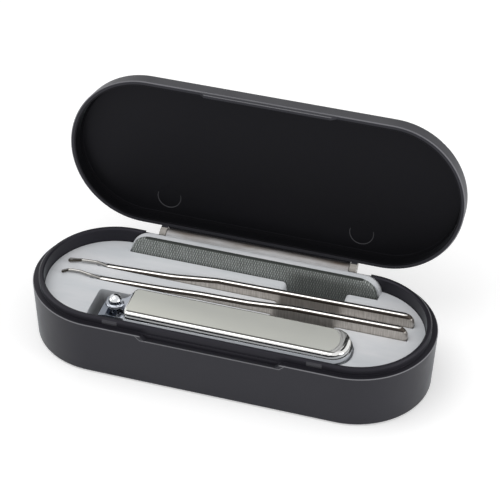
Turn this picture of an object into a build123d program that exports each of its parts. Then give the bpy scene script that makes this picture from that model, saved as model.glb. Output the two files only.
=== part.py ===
"""Pocket manicure case: a hinged stadium-shaped box with a moulded tray that holds a nail
clipper, two picks and a nail file on edge.

X runs along the case, Y from the front to the hinge, Z up.  The origin is the middle of the
underside.  Millimetres.  The lid is written at its open stop, as the case stands on a table.
"""

from build123d import *
import math
import os

os.makedirs("parts", exist_ok=True)

# ---------------------------------------------------------------- general fits
RUNNING_GAP = 0.05  # radial gap of a pin in the piece that turns on it
TIGHT_GAP = 0.01  # radial gap of a pin in the piece that holds it
DROP_GAP = 0.15  # gap of a tool in its slot and of the tray in the base, each side
LID_GAP = 0.1  # gap between the closed lid and the base rim
SKIRT_GAP = 0.25  # gap between the lid's wall and the base's inner lip

# ---------------------------------------------------------------- shell walls
LEDGE = 1.8  # width of the rim outside the lip
LIP_THICK = 1.5
LIP_RISE = 2.2
LIP_EDGE = 0.4  # chamfer along both top edges of the lip
RIM_EDGE = 0.2  # chamfer along the outer rims of base and lid
BASE_HEIGHT = 18.0
BASE_FLOOR = 1.6
BASE_DRAFT = 0.8  # how far the foot of the wall is set in from the rim
BASE_FOOT_EDGE = 0.6
TRAY_DROP = 2.3  # tray surface below the rim
TRAY_SKIN = 1.3
LID_TOP = 1.4
LID_DRAFT = 0.35
LID_EDGE_ROUND = 1.0
LID_INNER_EDGE = 0.7
LID_HEADROOM = 1.2  # over the tallest tool
EJECTOR_RADIUS = 3.6
EJECTOR_DEPTH = 0.12
EJECTOR_X = 29.8
EJECTOR_FROM_BACK = 7.8

# ---------------------------------------------------------------- tools
FAR_PICK_LENGTH = 104.3
NEAR_PICK_SHORT = 0.5  # the near pick's handle end lies this far left of the far one's
PICK_THICK = 1.8
PICK_HALF_HEIGHT = 3.2
PICK_EDGE_ROUND = 0.7
PICK_STAND = 3.7  # how far the handles stand above the tray, at the finger notch
PICK_TILT = 0.85  # degrees: the picks lean down towards their tips
# corners of each handle's narrowing outline: (distance from its round end, half height)
FAR_PICK_TAPER = ((58.6, 3.2), (72.6, 1.5), (93.1, 0.75))
NEAR_PICK_TAPER = ((34.4, 3.2), (47.2, 2.15), (61.6, 1.95), (71.6, 1.4), (92.6, 0.75))
PICK_TAPER_ROUND = 60.0  # radius at those corners
SHANK_RADIUS = 0.45
SHANK_BEND = 2.0  # radius of the shanks' bends
# corners of each shank's centre line, from the handle's neck: (along X, along Y, up)
FAR_SHANK = ((0.6, 0, 0), (-2.9, -0.35, 1.2), (-5.8, -0.8, 1.45), (-7.4, -1.1, 1.5))
NEAR_SHANK = ((0.6, 0, 0), (-2.9, -0.5, 1.2), (-6.2, 0.05, 1.3), (-8.6, 0, 1.3), (-9.7, -0.3, 1.3))
# each scoop: length, width, turn towards the front in degrees
FAR_SCOOP = (4.6, 1.6, 17)
NEAR_SCOOP = (2.7, 1.2, 40)
SCOOP_WALL = 0.28
SCOOP_HEEL = 0.5  # radius of a scoop's narrow end, round its shank
GROOVE_PAST_NECK = 2.9  # a pick's slot runs on this far under its shank
FILE_LENGTH = 74.9
FILE_WIDTH = 10.8
FILE_THICK = 1.4
FILE_STAND = 5.7
FILE_EDGE_CHAMFER = 0.2
FILE_SIDE_GAP = 0.35
FILE_END_GAP = 0.6
FILE_SHIFT = 1.2  # the file sits this far right of the middle

# ---------------------------------------------------------------- clipper
CLIP_LENGTH = 74.1
CLIP_WIDTH = 12.0
CLIP_HEAD_WIDTH = 8.8
CLIP_SIDE_GAP = 0.3
CLIP_TAIL_ROOM = 0.4  # pocket behind the tail
CLIP_HEAD_ROOM = 3.1  # pocket in front of the cutting edges, for a finger nail
CLIP_SHIFT = 0.9
CLIP_STAND = 3.6  # lever top above the tray
JAW_THICK = 1.5
JAW_TAIL_GAP = 0.1
JAW_TAIL_ROUND = 5.6
JAW_HEAD_LENGTH = 5.3
SHOULDER_LENGTH = 3.2
JAW_BEND_LENGTH = 2.0
JAW_BEND_INSET = 0.5  # a bend's inner corner lies this far right of its outer one
JAW_BEND_ROUND = 0.75
LOWER_JAW_FALL = 5.5  # the lower jaw's head lies this far below its tail
UPPER_JAW_FALL = 0.4
UPPER_HEAD_STEP = 1.5  # the upper jaw steps down by this at its shoulders
LOWER_BLADE_RISE = 1.4
UPPER_BLADE_DROP = 0.7
BLADE_FACE = 1.7  # height of the ground face at the front of each blade
BLADE_TIP = 0.35
LEVER_THICK = 1.6
LEVER_HEAD_THICK = 0.9
LEVER_BEND_INSET = 0.55  # a bend's inner corner lies this far right of its outer one
LEVER_HEAD_RADIUS = 2.9
LEVER_NECK_WIDTH = 4.6
LEVER_HEAD_DROP = 1.5
LEVER_JAW_GAP = 0.25
LEVER_SHORT = 0.5  # the lever ends this far before the jaws do
LEVER_EDGE_ROUND = 1.0
LEVER_END_ROUND = 5.3
LEVER_CORNER_ROUND = 1.6
LEVER_FLARE = 1.3  # length over which the neck widens to the body
LEVER_WAIST_ROUND = 0.6
LEVER_TAIL_LENGTH = 2.4  # the lever thins out towards its end over this length
LEVER_TAIL_THICK = 0.5
PIN_SETBACK = 3.8  # pin axis behind the cutting edge
PIN_RADIUS = 1.0
PIN_HEAD_RADIUS = 1.95
PIN_HEAD_HEIGHT = 1.3
PIN_HEAD_GAP = 0.8
PIN_FOOT_RADIUS = 2.2
PIN_FOOT_THICK = 0.5
LEVER_SLOT_SIDE_GAP = 0.4
LEVER_SLOT_END_GAP = 0.7
JAW_HOLE_GAP = 0.35
RIVET_RADIUS = 1.3
RIVET_SETBACK = 5.3
RIVET_CHAMFER = 0.2

# ---------------------------------------------------------------- tray layout, front to back
FRONT_LAND = 3.6
CLIP_LAND = 3.7
PICK_LAND = 3.9
FILE_LAND = 7.3
BACK_LAND = 2.4
PICK_TIP_MARGIN = 4.4
PICK_END_MARGIN = 4.6
POCKET_WALL = 1.2
POCKET_CORNER = 1.0
SLOT_FLOOR_GAP = 0.1
NOTCH_X = 20.8
NOTCH_WIDTH = 18.4
NOTCH_DEPTH = 7.6
NOTCH_CORNER = 1.6
NOTCH_DRAFT = 0.8
NOTCH_BROW = 1.2  # rounding where the notch meets the tray surface
RIB_THICK = 1.2
RIB_PITCH = 26.0
BACK_WALL_RISE = 4.6  # raised wall behind the file, above the tray
BACK_WALL_CORNER = 5.6
BACK_WALL_ROUND = 2.0
BACK_WALL_MARGIN = 0.35

# ---------------------------------------------------------------- hinge and latch
HINGE_BACKSET = 1.9  # pin axis behind the back wall
HINGE_DROP = 0.85  # pin axis below the rim
HINGE_RADIUS = 1.65
HINGE_PIN_RADIUS = 0.75
HINGE_PIN_EDGE = 0.2
HINGE_SPAN = 60.8
EAR_WIDTH = 2.0
EAR_SIDE_GAP = 0.2
STRIP_UNDER = 2.25  # underside of the hinge strip below the pin axis, at the tray
STRIP_LID_GAP = 0.2
EAR_ROOT = 2.6
STOP_GAP = 0.1
STOP_REACH = 1.05  # how far below the pin axis the ear's stop corner meets the wall
OPEN_ANGLE = 98.8
LATCH_LENGTH = 41.0
LATCH_DEPTH = 1.5
LATCH_SLOPE = 1.5
LATCH_ROUND = 1.0
LATCH_GAP = 0.15
LATCH_BACK_LAND = 0.4  # rim left between the notch and the lip
TONGUE_STEP = 0.3  # the tongue's face lies this far behind the lid's
SNAP_X = 30.0
SNAP_LENGTH = 5.0
SNAP_PROUD = 0.18
SNAP_RADIUS = 0.6
SNAP_END_CHAMFER = 0.4

# ---------------------------------------------------------------- worked-out places
RIM_BAND = LEDGE + LIP_THICK
CLIP_POCKET_WIDTH = CLIP_WIDTH + 2 * CLIP_SIDE_GAP
PICK_SLOT_WIDTH = PICK_THICK + 2 * DROP_GAP
FILE_SLOT_WIDTH = FILE_THICK + 2 * FILE_SIDE_GAP
INNER_WIDTH = (
    FRONT_LAND + CLIP_POCKET_WIDTH + CLIP_LAND + PICK_SLOT_WIDTH + PICK_LAND
    + PICK_SLOT_WIDTH + FILE_LAND + FILE_SLOT_WIDTH + BACK_LAND
)
INNER_LENGTH = FAR_PICK_LENGTH + PICK_TIP_MARGIN + PICK_END_MARGIN
CASE_WIDTH = INNER_WIDTH + 2 * RIM_BAND
CASE_LENGTH = INNER_LENGTH + 2 * RIM_BAND

CLIP_Y = -INNER_WIDTH / 2 + FRONT_LAND + CLIP_POCKET_WIDTH / 2
NEAR_PICK_Y = CLIP_Y + CLIP_POCKET_WIDTH / 2 + CLIP_LAND + PICK_SLOT_WIDTH / 2
FAR_PICK_Y = NEAR_PICK_Y + PICK_SLOT_WIDTH + PICK_LAND
FILE_Y = FAR_PICK_Y + PICK_SLOT_WIDTH / 2 + FILE_LAND + FILE_SLOT_WIDTH / 2

TRAY_Z = BASE_HEIGHT - TRAY_DROP
LIP_Z = BASE_HEIGHT + LIP_RISE
FILE_TOP = TRAY_Z + FILE_STAND
FILE_Z = FILE_TOP - FILE_WIDTH / 2
PICK_Z = TRAY_Z + PICK_STAND - PICK_HALF_HEIGHT
LID_RIM_Z = BASE_HEIGHT + LID_GAP
LID_CEILING_Z = FILE_TOP + LID_HEADROOM
LID_TOP_Z = LID_CEILING_Z + LID_TOP
LID_WALL = LEDGE - SKIRT_GAP

HINGE_Y = CASE_WIDTH / 2 + HINGE_BACKSET
HINGE_Z = BASE_HEIGHT - HINGE_DROP
HINGE_AXIS = Axis((0, HINGE_Y, HINGE_Z), (-1, 0, 0))
BARREL_HALF = HINGE_SPAN / 2 - EAR_WIDTH - EAR_SIDE_GAP

CLIP_LEFT = CLIP_SHIFT - CLIP_LENGTH / 2
CLIP_RIGHT = CLIP_SHIFT + CLIP_LENGTH / 2
PIN_X = CLIP_LEFT + PIN_SETBACK
RIVET_X = CLIP_RIGHT - RIVET_SETBACK
LEVER_TOP = TRAY_Z + CLIP_STAND
LEVER_UNDER = LEVER_TOP - LEVER_THICK
UPPER_TAIL_TOP = LEVER_UNDER - LEVER_JAW_GAP
UPPER_TAIL_UNDER = UPPER_TAIL_TOP - JAW_THICK
LOWER_TAIL_TOP = UPPER_TAIL_UNDER - JAW_TAIL_GAP
LOWER_TAIL_UNDER = LOWER_TAIL_TOP - JAW_THICK
JAW_BEND_X = CLIP_LEFT + JAW_BEND_LENGTH
NECK_X = CLIP_LEFT + JAW_HEAD_LENGTH
SHOULDER_X = NECK_X + SHOULDER_LENGTH
LOWER_SLOPE = LOWER_JAW_FALL / (CLIP_RIGHT - JAW_BEND_X)
UPPER_SLOPE = UPPER_JAW_FALL / (CLIP_RIGHT - SHOULDER_X)


def stadium(inset, z):
    """The case outline, set in by inset, as a face at height z."""
    return Plane.XY.offset(z) * SlotOverall(CASE_LENGTH - 2 * inset, CASE_WIDTH - 2 * inset)


def stadium_block(inset, low, high):
    """A straight-walled block of the case outline."""
    return extrude(stadium(inset, low), high - low)


def drafted_block(low_inset, high_inset, low, high):
    """A block of the case outline whose inset goes from low_inset to high_inset."""
    draft = math.degrees(math.atan2(high_inset - low_inset, high - low))
    return extrude(stadium(low_inset, low), high - low, taper=draft)


def side_profile(points):
    """A closed face in the XZ plane from (x, z) points."""
    return Plane.XZ * make_face(Polyline(*points, close=True))


def across(face, centre_y, width):
    """Extrudes an XZ face to a given width, centred on centre_y."""
    return Pos(0, centre_y, 0) * extrude(face, width / 2, both=True)


def latch_profile(gap):
    """Cross-section along X of the latch notch, or with a gap of the tongue that fills it."""
    half = LATCH_LENGTH / 2 - gap
    foot, shoulder = BASE_HEIGHT - LATCH_DEPTH + gap, BASE_HEIGHT + gap
    top = BASE_HEIGHT + LIP_RISE
    right = [(half - LATCH_SLOPE, foot), (half, shoulder),
             (half + 2 * LATCH_ROUND, shoulder), (half + 2 * LATCH_ROUND, top)]
    face = make_face(Polyline(*right, *[(-x, z) for x, z in reversed(right)], close=True))
    bends = face.vertices().filter_by_position(Axis.X, -half - gap / 2, half + gap / 2)
    return Plane.XZ * fillet(bends, LATCH_ROUND)


def back_wall_block(gap, front, back):
    """The raised wall behind the file, grown by gap, from y = front to y = back."""
    low = TRAY_Z - TRAY_SKIN - gap
    high = TRAY_Z + BACK_WALL_RISE + gap
    half = FILE_LENGTH / 2 + FILE_END_GAP + BACK_WALL_MARGIN + gap
    shape = Pos(FILE_SHIFT, (low + high) / 2) * Rectangle(2 * half, high - low)
    tops = shape.vertices().group_by(Axis.Y)[-1]
    shape = fillet(tops, BACK_WALL_CORNER)
    return extrude(Plane.XZ.offset(-front) * shape, -(back - front))


def hinge_strip_profile(gap):
    """YZ section of the strip that carries the hinge barrel past the base's wall."""
    low = HINGE_Z - STRIP_UNDER - gap
    top = BASE_HEIGHT - STRIP_LID_GAP
    inner = INNER_WIDTH / 2
    points = [(inner, low), (HINGE_Y, HINGE_Z - HINGE_RADIUS), (HINGE_Y, HINGE_Z),
              (HINGE_Y - (HINGE_RADIUS - STRIP_LID_GAP) / 2, top), (inner, top)]
    return Plane.YZ * make_face(Polyline(*points, close=True))


def base_shell():
    """Outer shell of the case: drafted wall, floor, rim ledge, inner lip and latch notch."""
    outer = drafted_block(BASE_DRAFT, 0, 0, BASE_HEIGHT)
    outer = chamfer(outer.faces().sort_by(Axis.Z)[0].edges(), BASE_FOOT_EDGE)
    outer = chamfer(outer.faces().sort_by(Axis.Z)[-1].edges(), RIM_EDGE)
    lip = stadium_block(LEDGE, BASE_HEIGHT - LIP_RISE, LIP_Z)
    lip -= stadium_block(RIM_BAND, BASE_HEIGHT - LIP_RISE, LIP_Z)
    lip = chamfer(lip.faces().sort_by(Axis.Z)[-1].edges(), LIP_EDGE)
    shell = outer - stadium_block(RIM_BAND, BASE_FLOOR, LIP_Z)
    shell += lip
    notch_reach = LEDGE - LATCH_BACK_LAND
    shell -= across(latch_profile(0), -CASE_WIDTH / 2, 2 * notch_reach)
    wall_front = FILE_Y + FILE_SLOT_WIDTH / 2
    wall_back = INNER_WIDTH / 2 + LIP_THICK + DROP_GAP
    shell -= back_wall_block(DROP_GAP, wall_front, wall_back)
    gate_low = HINGE_Z - STRIP_UNDER - DROP_GAP
    gate = Pos(0, CASE_WIDTH / 2, (gate_low + LIP_Z) / 2) * Box(
        2 * (BARREL_HALF + 2 * DROP_GAP), 2 * RIM_BAND, LIP_Z - gate_low)
    shell -= gate
    for x in (-SNAP_X, SNAP_X):
        depth = SNAP_RADIUS - SNAP_PROUD
        y = -(CASE_WIDTH / 2 - LEDGE) + depth
        bead = Cylinder(SNAP_RADIUS, SNAP_LENGTH, rotation=(0, 90, 0))
        bead = chamfer(bead.edges(), SNAP_END_CHAMFER)
        shell += Pos(x, y, BASE_HEIGHT + LIP_RISE / 2) * bead
    return shell


def clip_pocket(grow, top):
    """The clipper's pocket, whose floor follows the lower jaw, as a solid."""
    left = CLIP_LEFT - CLIP_HEAD_ROOM - grow
    right = CLIP_RIGHT + CLIP_TAIL_ROOM + grow
    head_floor = LOWER_TAIL_UNDER - LOWER_JAW_FALL - PIN_FOOT_THICK - 2 * SLOT_FLOOR_GAP
    tail_floor = LOWER_TAIL_UNDER - SLOT_FLOOR_GAP
    foot_right = PIN_X + PIN_FOOT_RADIUS + CLIP_SIDE_GAP
    shape = side_profile(
        [(left, head_floor - grow), (foot_right, head_floor - grow),
         (right, tail_floor - grow), (right, top), (left, top)])
    block = across(shape, CLIP_Y, CLIP_POCKET_WIDTH + 2 * grow)
    ends = block.edges().filter_by(Axis.Z).group_by(Axis.X)
    block = fillet(ends[0], POCKET_CORNER)
    tail = block.edges().filter_by(Axis.Z).group_by(Axis.X)[-1]
    return fillet(tail, JAW_TAIL_ROUND + grow)


def pick_end(which):
    """X of a pick's round handle end: far pick 0, near pick 1."""
    return INNER_LENGTH / 2 - PICK_END_MARGIN - which * NEAR_PICK_SHORT


def pick_taper(which, grow):
    """(x, half height) corners of a pick's narrowing handle, from its wide part to its neck."""
    taper = (FAR_PICK_TAPER, NEAR_PICK_TAPER)[which]
    return [(pick_end(which) - along, half + grow) for along, half in taper]


def pick_place(centre_y):
    """Moves a pick built along X at height 0 to its leaning place in the tray."""
    return Pos(NOTCH_X, centre_y, PICK_Z) * Rot(0, -PICK_TILT, 0) * Pos(-NOTCH_X, 0, 0)


def pick_outline(which, grow):
    """Side outline of a pick's handle, grown by grow: round end, flanks and narrowing taper."""
    taper = pick_taper(which, grow)
    radius = PICK_HALF_HEIGHT + grow
    round_x = pick_end(which) - PICK_HALF_HEIGHT
    flank = [(round_x, radius)] + taper
    face = make_face(Polyline(*flank, *[(x, -z) for x, z in reversed(flank)], close=True))
    bends = [v for v in face.vertices() if taper[-1][0] + 1 < v.X < round_x - 1]
    face = fillet(bends, PICK_TAPER_ROUND)
    return face + Pos(round_x, 0) * Circle(radius)


def pick_handle(which):
    """The handle of a pick at height 0: a flat bar on edge that runs down to its neck."""
    bar = across(Plane.XZ * pick_outline(which, 0), 0, PICK_THICK)
    sides = bar.faces().sort_by(Axis.Y)
    return fillet(sides[0].edges() + sides[-1].edges(), PICK_EDGE_ROUND)


def pick_slot(which, centre_y, grow):
    """The slot a pick stands in: its outline with a gap, open upwards, and a groove on."""
    gap = DROP_GAP + grow
    neck_x, neck_half = pick_taper(which, gap)[-1]
    left = neck_x - GROOVE_PAST_NECK - grow
    right = pick_end(which) + gap
    face = pick_outline(which, gap) + Pos((left + neck_x) / 2, 0) * Rectangle(
        neck_x - left, 2 * neck_half)
    rise = 2 * PICK_HALF_HEIGHT
    face += Pos((left + right) / 2, rise / 2) * Rectangle(right - left, rise)
    slot = across(Plane.XZ * face, 0, PICK_SLOT_WIDTH + 2 * grow)
    return pick_place(centre_y) * slot


def file_outline(grow):
    """XZ outline of the nail file, a long shape with round ends."""
    return Pos(FILE_SHIFT, 0, FILE_Z) * (
        Plane.XZ * SlotOverall(FILE_LENGTH + 2 * grow, FILE_WIDTH + 2 * grow))


def file_slot(grow):
    """The slot the file stands in."""
    floor = FILE_TOP - FILE_WIDTH - SLOT_FLOOR_GAP - grow
    length = FILE_LENGTH + 2 * FILE_END_GAP + 2 * grow
    height = LIP_Z - floor
    block = Pos(FILE_SHIFT, FILE_Y, floor + height / 2) * Box(
        length, FILE_SLOT_WIDTH + 2 * grow, height)
    return block


def finger_notch(grow):
    """The dip across the tray that lets a finger reach under every tool."""
    floor, half = TRAY_Z - NOTCH_DEPTH - grow, NOTCH_WIDTH / 2 + grow
    right = [(half - NOTCH_DRAFT, floor), (half, TRAY_Z), (half + 2 * NOTCH_BROW, TRAY_Z),
             (half + 2 * NOTCH_BROW, LIP_Z)]
    face = make_face(Polyline(*right, *[(-x, z) for x, z in reversed(right)], close=True))
    face = fillet(face.vertices().group_by(Axis.Y)[0], NOTCH_CORNER)
    brows = face.vertices().filter_by_position(Axis.X, -half - NOTCH_BROW, half + NOTCH_BROW)
    face = fillet(brows.group_by(Axis.Y)[-1], NOTCH_BROW)
    block = across(Plane.XZ * face, (CLIP_Y + FILE_Y) / 2, FILE_Y - CLIP_Y)
    return Pos(NOTCH_X, 0, 0) * block


def tray_pockets(grow):
    """Every pocket of the tray, grown outwards by grow."""
    return [
        clip_pocket(grow, LIP_Z),
        pick_slot(0, FAR_PICK_Y, grow),
        pick_slot(1, NEAR_PICK_Y, grow),
        file_slot(grow),
        finger_notch(grow),
    ]


def insert_tray():
    """Moulded tray: deck, pocket walls, skirt and ribs, raised back wall and hinge barrel."""
    inset = RIM_BAND + DROP_GAP
    deck = stadium_block(inset, TRAY_Z - TRAY_SKIN, TRAY_Z)
    skirt = stadium_block(inset, BASE_FLOOR, TRAY_Z)
    skirt -= stadium_block(inset + POCKET_WALL, BASE_FLOOR, TRAY_Z)
    room = stadium_block(inset, BASE_FLOOR, TRAY_Z)
    tray = deck + skirt
    for pocket in tray_pockets(POCKET_WALL):
        tray += pocket & room
    rib_count = int(INNER_LENGTH / 2 / RIB_PITCH)
    for turn in range(-rib_count, rib_count + 1):
        rib = Pos(turn * RIB_PITCH, 0, (BASE_FLOOR + TRAY_Z) / 2) * Box(
            RIB_THICK, INNER_WIDTH, TRAY_Z - BASE_FLOOR)
        tray += rib & room
    wall_front = FILE_Y + FILE_SLOT_WIDTH / 2
    wall_back = INNER_WIDTH / 2 + LIP_THICK
    wall = back_wall_block(0, wall_front, wall_back)
    crest = wall.faces().sort_by(Axis.Y)[-1].edges().group_by(Axis.Z)[-1]
    tray += fillet(crest, BACK_WALL_ROUND)
    tray += extrude(hinge_strip_profile(0), BARREL_HALF, both=True)
    tray += Pos(0, HINGE_Y, HINGE_Z) * Cylinder(
        HINGE_RADIUS, 2 * BARREL_HALF, rotation=(0, 90, 0))
    for pocket in tray_pockets(0):
        tray -= pocket
    tray -= Pos(0, HINGE_Y, HINGE_Z) * Cylinder(
        HINGE_PIN_RADIUS + TIGHT_GAP, HINGE_SPAN, rotation=(0, 90, 0))
    return tray


def hinge_ear(centre_x):
    """One of the lid's hinge ears: an eye, a root on the lid's back and a stop corner."""
    low = LID_RIM_Z
    stop = HINGE_BACKSET - STOP_GAP
    turn = math.radians(OPEN_ANGLE)
    corner_y = HINGE_Y - stop * math.cos(turn) + STOP_REACH * math.sin(turn)
    corner_z = HINGE_Z - stop * math.sin(turn) - STOP_REACH * math.cos(turn)
    eye = Plane.YZ * (Pos(HINGE_Y, HINGE_Z) * Circle(HINGE_RADIUS))
    wall = CASE_WIDTH / 2
    root = Plane.YZ * make_face(Polyline(
        (wall - LID_WALL / 2, low), (wall, low), (HINGE_Y - HINGE_RADIUS, HINGE_Z),
        (HINGE_Y + HINGE_RADIUS, HINGE_Z), (wall, low + EAR_ROOT),
        (wall - LID_WALL / 2, low + EAR_ROOT), close=True))
    heel = Plane.YZ * make_face(Polyline(
        (HINGE_Y + HINGE_RADIUS, HINGE_Z), (corner_y, corner_z),
        (HINGE_Y, HINGE_Z - HINGE_RADIUS), (HINGE_Y, HINGE_Z), close=True))
    ear = extrude(eye, EAR_WIDTH / 2, both=True)
    ear += extrude(root, EAR_WIDTH / 2, both=True)
    ear += extrude(heel, EAR_WIDTH / 2, both=True)
    return Pos(centre_x, 0, 0) * ear


def lid_closed():
    """The lid in its closed place: shallow shell, latch tongue and hinge ears."""
    outer = drafted_block(0, LID_DRAFT, LID_RIM_Z, LID_TOP_Z)
    outer = fillet(outer.faces().sort_by(Axis.Z)[-1].edges(), LID_EDGE_ROUND)
    outer = chamfer(outer.faces().sort_by(Axis.Z)[0].edges(), RIM_EDGE)
    hollow = stadium_block(LID_WALL, LID_RIM_Z, LID_CEILING_Z)
    hollow = chamfer(hollow.faces().sort_by(Axis.Z)[-1].edges(), LID_INNER_EDGE)
    lid = outer - hollow
    tongue_front = -CASE_WIDTH / 2 + TONGUE_STEP
    tongue_back = -CASE_WIDTH / 2 + LEDGE - LATCH_BACK_LAND - LATCH_GAP
    tongue = across(
        latch_profile(LATCH_GAP), (tongue_front + tongue_back) / 2, tongue_back - tongue_front)
    lid += tongue & stadium_block(0, 0, LID_RIM_Z + LATCH_DEPTH)
    ear_x = HINGE_SPAN / 2 - EAR_WIDTH / 2
    for x in (-ear_x, ear_x):
        lid += hinge_ear(x)
    lid -= Pos(0, HINGE_Y, HINGE_Z) * Cylinder(
        HINGE_PIN_RADIUS + RUNNING_GAP, 2 * HINGE_SPAN, rotation=(0, 90, 0))
    for x in (-EJECTOR_X, EJECTOR_X):
        y = CASE_WIDTH / 2 - EJECTOR_FROM_BACK
        lid -= Pos(x, y, LID_CEILING_Z) * Cylinder(EJECTOR_RADIUS, 2 * EJECTOR_DEPTH)
    return lid


def lid_shell():
    """The lid at its open stop."""
    return lid_closed().rotate(HINGE_AXIS, OPEN_ANGLE)


def hinge_pin():
    """Steel hinge pin, held in the tray's barrel and running in the lid's ears."""
    pin = Cylinder(HINGE_PIN_RADIUS, HINGE_SPAN, rotation=(0, 90, 0))
    pin = chamfer(pin.edges(), HINGE_PIN_EDGE)
    return Pos(0, HINGE_Y, HINGE_Z) * pin


def scoop(length, width):
    """A small scoop: half of a hollow egg about X, blunt at its tip and open to the front."""
    tip = Pos((width - length) / 2, 0) * Circle(width / 2)
    heel = Pos(length / 2 - SCOOP_HEEL, 0) * Circle(SCOOP_HEEL)
    egg = make_hull(tip.edges() + heel.edges())
    shell = egg - offset(egg, -SCOOP_WALL)
    shell &= Pos(0, width / 2) * Rectangle(length, width)
    return Rot(-90, 0, 0) * revolve(Plane.XY * shell, Axis.X, 180)


def pick(which, centre_y, shank_points, scoop_size):
    """A pick standing on edge in its slot: handle, bent shank and scoop."""
    neck_x = pick_taper(which, 0)[-1][0]
    path = FilletPolyline(*[(neck_x + x, y, z) for x, y, z in shank_points], radius=SHANK_BEND)
    shank = sweep(Plane(origin=path @ 0, z_dir=path % 0) * Circle(SHANK_RADIUS), path=path)
    length, width, turn = scoop_size
    end = path @ 1
    reach = length / 2 - SCOOP_HEEL
    angle = math.radians(turn)
    centre = Pos(end.X - reach * math.cos(angle), end.Y - reach * math.sin(angle), end.Z)
    bowl = centre * Rot(0, 0, turn) * scoop(length, width)
    return pick_place(centre_y) * (pick_handle(which) + shank + bowl)


def far_pick():
    """Ear pick with the larger scoop."""
    return pick(0, FAR_PICK_Y, FAR_SHANK, FAR_SCOOP)


def near_pick():
    """Fine pick with a small hooked scoop."""
    return pick(1, NEAR_PICK_Y, NEAR_SHANK, NEAR_SCOOP)


def nail_file():
    """Flat steel nail file with round ends, on edge in its slot."""
    blank = across(file_outline(0), FILE_Y, FILE_THICK)
    sides = blank.faces().sort_by(Axis.Y)
    return chamfer(sides[0].edges() + sides[-1].edges(), FILE_EDGE_CHAMFER)


def jaw_plan():
    """Plan of both jaws: narrow head, shoulders, straight body and round tail."""
    head, body = CLIP_HEAD_WIDTH / 2, CLIP_WIDTH / 2
    upper = [(CLIP_LEFT, head), (NECK_X, head), (SHOULDER_X, body), (CLIP_RIGHT, body)]
    lower = [(x, -y) for x, y in reversed(upper)]
    face = make_face(Polyline(*upper, *lower, close=True))
    face = fillet(face.vertices().group_by(Axis.X)[-1], JAW_TAIL_ROUND)
    bends = [v for v in face.vertices() if CLIP_LEFT < v.X - 1 < SHOULDER_X]
    return Pos(0, CLIP_Y) * fillet(bends, SHOULDER_LENGTH / 2)


def jaw(profile_points):
    """A jaw: a bent strip cut to the jaws' plan."""
    face = side_profile(profile_points)
    bends = [v for v in face.vertices() if CLIP_LEFT + 1 < v.X < CLIP_RIGHT - 1]
    face = fillet(bends, JAW_BEND_ROUND)
    strip = across(face, CLIP_Y, 2 * CLIP_WIDTH)
    plan = extrude(jaw_plan(), 2 * LIP_Z)
    return strip & plan


def clipper_lower_jaw():
    """Lower jaw, which lies in the pocket, with the holes for the pin and the rivet."""
    head = LOWER_TAIL_UNDER - LOWER_JAW_FALL
    edge = head + JAW_THICK + LOWER_BLADE_RISE
    body = jaw([
        (CLIP_RIGHT, LOWER_TAIL_UNDER), (JAW_BEND_X, head),
        (CLIP_LEFT, edge - BLADE_FACE), (CLIP_LEFT, edge), (CLIP_LEFT + BLADE_TIP, edge),
        (JAW_BEND_X + JAW_BEND_INSET, head + JAW_THICK), (CLIP_RIGHT, LOWER_TAIL_TOP)])
    body -= Pos(PIN_X, CLIP_Y, 0) * Cylinder(PIN_RADIUS + TIGHT_GAP, 4 * LIP_Z)
    body -= Pos(RIVET_X, CLIP_Y, 0) * Cylinder(RIVET_RADIUS + TIGHT_GAP, 4 * LIP_Z)
    return body


def clipper_upper_jaw():
    """Upper jaw, which springs down at its head when it is squeezed."""
    shoulder = UPPER_TAIL_UNDER - UPPER_JAW_FALL
    head = shoulder - UPPER_HEAD_STEP
    edge = head - UPPER_BLADE_DROP
    body = jaw([
        (CLIP_RIGHT, UPPER_TAIL_TOP), (SHOULDER_X, shoulder + JAW_THICK),
        (NECK_X, head + JAW_THICK), (JAW_BEND_X, head + JAW_THICK),
        (CLIP_LEFT, edge + BLADE_FACE), (CLIP_LEFT, edge),
        (CLIP_LEFT + BLADE_TIP, edge), (JAW_BEND_X + JAW_BEND_INSET, head),
        (NECK_X + JAW_BEND_INSET, head), (SHOULDER_X + JAW_BEND_INSET, shoulder),
        (CLIP_RIGHT, UPPER_TAIL_UNDER)])
    hole = PIN_RADIUS + JAW_HOLE_GAP
    body -= Pos(PIN_X, CLIP_Y, 0) * Cylinder(hole, 4 * LIP_Z)
    body -= Pos(RIVET_X, CLIP_Y, 0) * Cylinder(RIVET_RADIUS + 2 * RUNNING_GAP, 4 * LIP_Z)
    return body


def lever_head_top():
    """Height of the top of the lever's thin head, where the pin holds it."""
    return LEVER_TOP - LEVER_HEAD_DROP


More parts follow.
